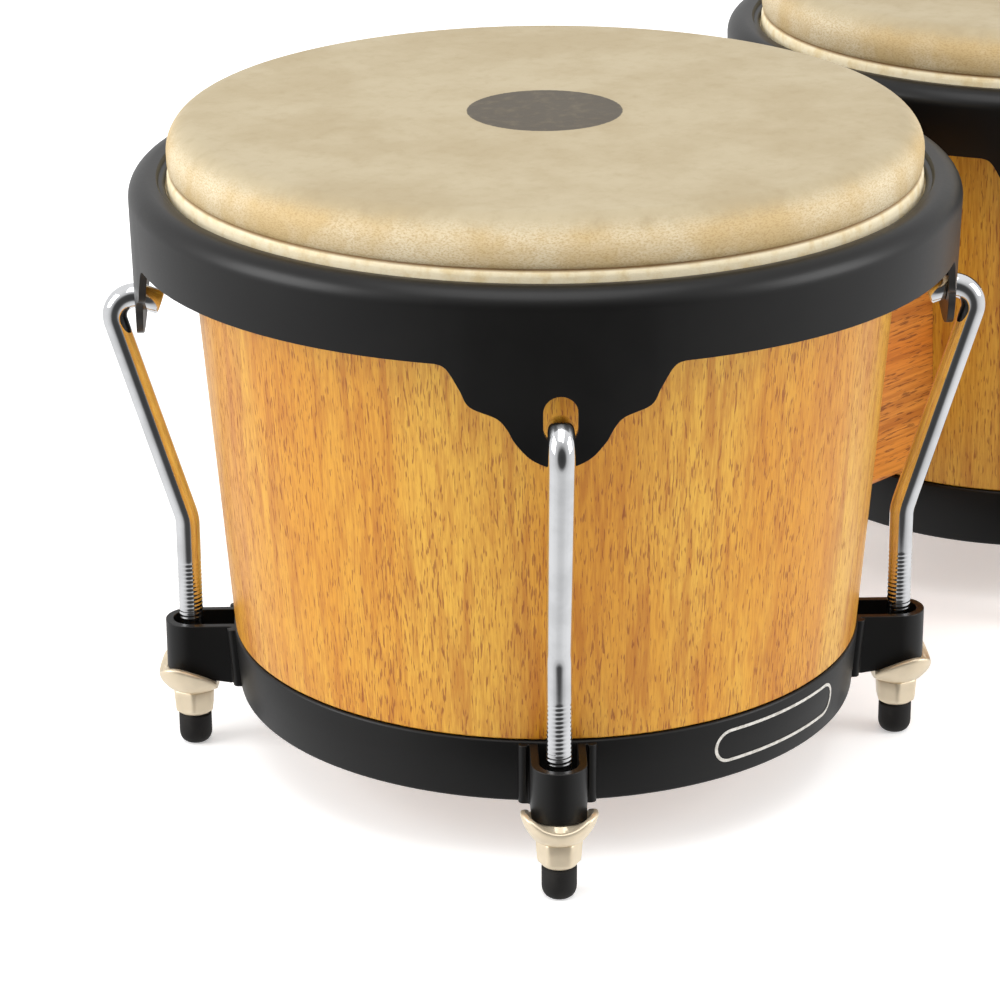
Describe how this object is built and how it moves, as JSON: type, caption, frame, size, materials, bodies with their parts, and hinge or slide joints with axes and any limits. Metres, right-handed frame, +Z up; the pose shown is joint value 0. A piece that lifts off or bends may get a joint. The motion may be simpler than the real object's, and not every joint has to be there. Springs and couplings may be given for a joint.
{
  "type": "bongo drums",
  "caption": "Pair of wooden hand drums of two sizes joined by a block, with rolled steel rims, rawhide heads, hooked tuning rods and rubber feet.",
  "frame": {"origin": "on the standing surface, under the middle of the pair's length and width", "axes": "+X from the large drum to the small drum, +Z up, +Y square to both"},
  "size_m": [0.449, 0.2318, 0.1898],
  "materials": {
    "shell_wood": "clear satin lacquer over honey-coloured wood",
    "block_wood": "clear satin lacquer over darker wood",
    "rawhide": "dry cream-coloured rawhide, smooth on its face",
    "black_steel": "satin black powder coat",
    "hoop_steel": "bare drawn wire",
    "chrome": "polished chrome plating",
    "nickel": "satin warm nickel plating",
    "rubber": "black moulded rubber",
    "zinc_steel": "bright zinc plating"
  },
  "bodies": {
    "frame": {"centre_block": "block_wood", "large_block_bolt_lower": "zinc_steel", "large_block_bolt_upper": "zinc_steel", "large_block_washer_lower": "zinc_steel", "large_block_washer_upper": "zinc_steel", "large_bottom_ring": "black_steel", "large_dish_washer_1": "nickel", "large_dish_washer_2": "nickel", "large_dish_washer_3": "nickel", "large_dish_washer_4": "nickel", "large_shell": "shell_wood", "small_block_bolt_lower": "zinc_steel", "small_block_bolt_upper": "zinc_steel", "small_block_washer_lower": "zinc_steel", "small_block_washer_upper": "zinc_steel", "small_bottom_ring": "black_steel", "small_dish_washer_1": "nickel", "small_dish_washer_2": "nickel", "small_dish_washer_3": "nickel", "small_dish_washer_4": "nickel", "small_shell": "shell_wood"},
    "large_head": {"large_flesh_hoop": "hoop_steel", "large_head_skin": "rawhide", "large_rim": "black_steel", "large_tuning_rod_1": "chrome", "large_tuning_rod_2": "chrome", "large_tuning_rod_3": "chrome", "large_tuning_rod_4": "chrome"},
    "large_nut_1": {"large_tuning_nut_1": "nickel", "large_rubber_foot_1": "rubber"},
    "large_nut_2": {"large_tuning_nut_2": "nickel", "large_rubber_foot_2": "rubber"},
    "large_nut_3": {"large_tuning_nut_3": "nickel", "large_rubber_foot_3": "rubber"},
    "large_nut_4": {"large_tuning_nut_4": "nickel", "large_rubber_foot_4": "rubber"},
    "small_head": {"small_flesh_hoop": "hoop_steel", "small_head_skin": "rawhide", "small_rim": "black_steel", "small_tuning_rod_1": "chrome", "small_tuning_rod_2": "chrome", "small_tuning_rod_3": "chrome", "small_tuning_rod_4": "chrome"},
    "small_nut_1": {"small_tuning_nut_1": "nickel", "small_rubber_foot_1": "rubber"},
    "small_nut_2": {"small_tuning_nut_2": "nickel", "small_rubber_foot_2": "rubber"},
    "small_nut_3": {"small_tuning_nut_3": "nickel", "small_rubber_foot_3": "rubber"},
    "small_nut_4": {"small_tuning_nut_4": "nickel", "small_rubber_foot_4": "rubber"}
  },
  "joints": [
    {"name": "large_head_lift", "type": "slide", "parent": "frame", "child": "large_head", "axis": [0, 0, 1], "range_m": [0, 0.006]},
    {"name": "large_nut_1_turn", "type": "hinge", "parent": "frame", "child": "large_nut_1", "pos_m": [-0.0356, 0.07297, 0.012], "axis": [0, 0, 1], "range_deg": [-1730, 0]},
    {"name": "large_nut_2_turn", "type": "hinge", "parent": "frame", "child": "large_nut_2", "pos_m": [-0.18155, 0.07297, 0.012], "axis": [0, 0, 1], "range_deg": [-1730, 0]},
    {"name": "large_nut_3_turn", "type": "hinge", "parent": "frame", "child": "large_nut_3", "pos_m": [-0.18155, -0.07297, 0.012], "axis": [0, 0, 1], "range_deg": [-1730, 0]},
    {"name": "large_nut_4_turn", "type": "hinge", "parent": "frame", "child": "large_nut_4", "pos_m": [-0.0356, -0.07297, 0.012], "axis": [0, 0, 1], "range_deg": [-1730, 0]},
    {"name": "small_head_lift", "type": "slide", "parent": "frame", "child": "small_head", "axis": [0, 0, 1], "range_m": [0, 0.006]},
    {"name": "small_nut_1_turn", "type": "hinge", "parent": "frame", "child": "small_nut_1", "pos_m": [0.1862, 0.06175, 0.012], "axis": [0, 0, 1], "range_deg": [-1730, 0]},
    {"name": "small_nut_2_turn", "type": "hinge", "parent": "frame", "child": "small_nut_2", "pos_m": [0.0627, 0.06175, 0.012], "axis": [0, 0, 1], "range_deg": [-1730, 0]},
    {"name": "small_nut_3_turn", "type": "hinge", "parent": "frame", "child": "small_nut_3", "pos_m": [0.0627, -0.06175, 0.012], "axis": [0, 0, 1], "range_deg": [-1730, 0]},
    {"name": "small_nut_4_turn", "type": "hinge", "parent": "frame", "child": "small_nut_4", "pos_m": [0.1862, -0.06175, 0.012], "axis": [0, 0, 1], "range_deg": [-1730, 0]}
  ],
  "couplings": [
    {"joint": "large_nut_1_turn", "follows": "large_head_lift", "rad_per_m": -5026.5},
    {"joint": "large_nut_2_turn", "follows": "large_head_lift", "rad_per_m": -5026.5},
    {"joint": "large_nut_3_turn", "follows": "large_head_lift", "rad_per_m": -5026.5},
    {"joint": "large_nut_4_turn", "follows": "large_head_lift", "rad_per_m": -5026.5},
    {"joint": "small_nut_1_turn", "follows": "small_head_lift", "rad_per_m": -5026.5},
    {"joint": "small_nut_2_turn", "follows": "small_head_lift", "rad_per_m": -5026.5},
    {"joint": "small_nut_3_turn", "follows": "small_head_lift", "rad_per_m": -5026.5},
    {"joint": "small_nut_4_turn", "follows": "small_head_lift", "rad_per_m": -5026.5}
  ]
}
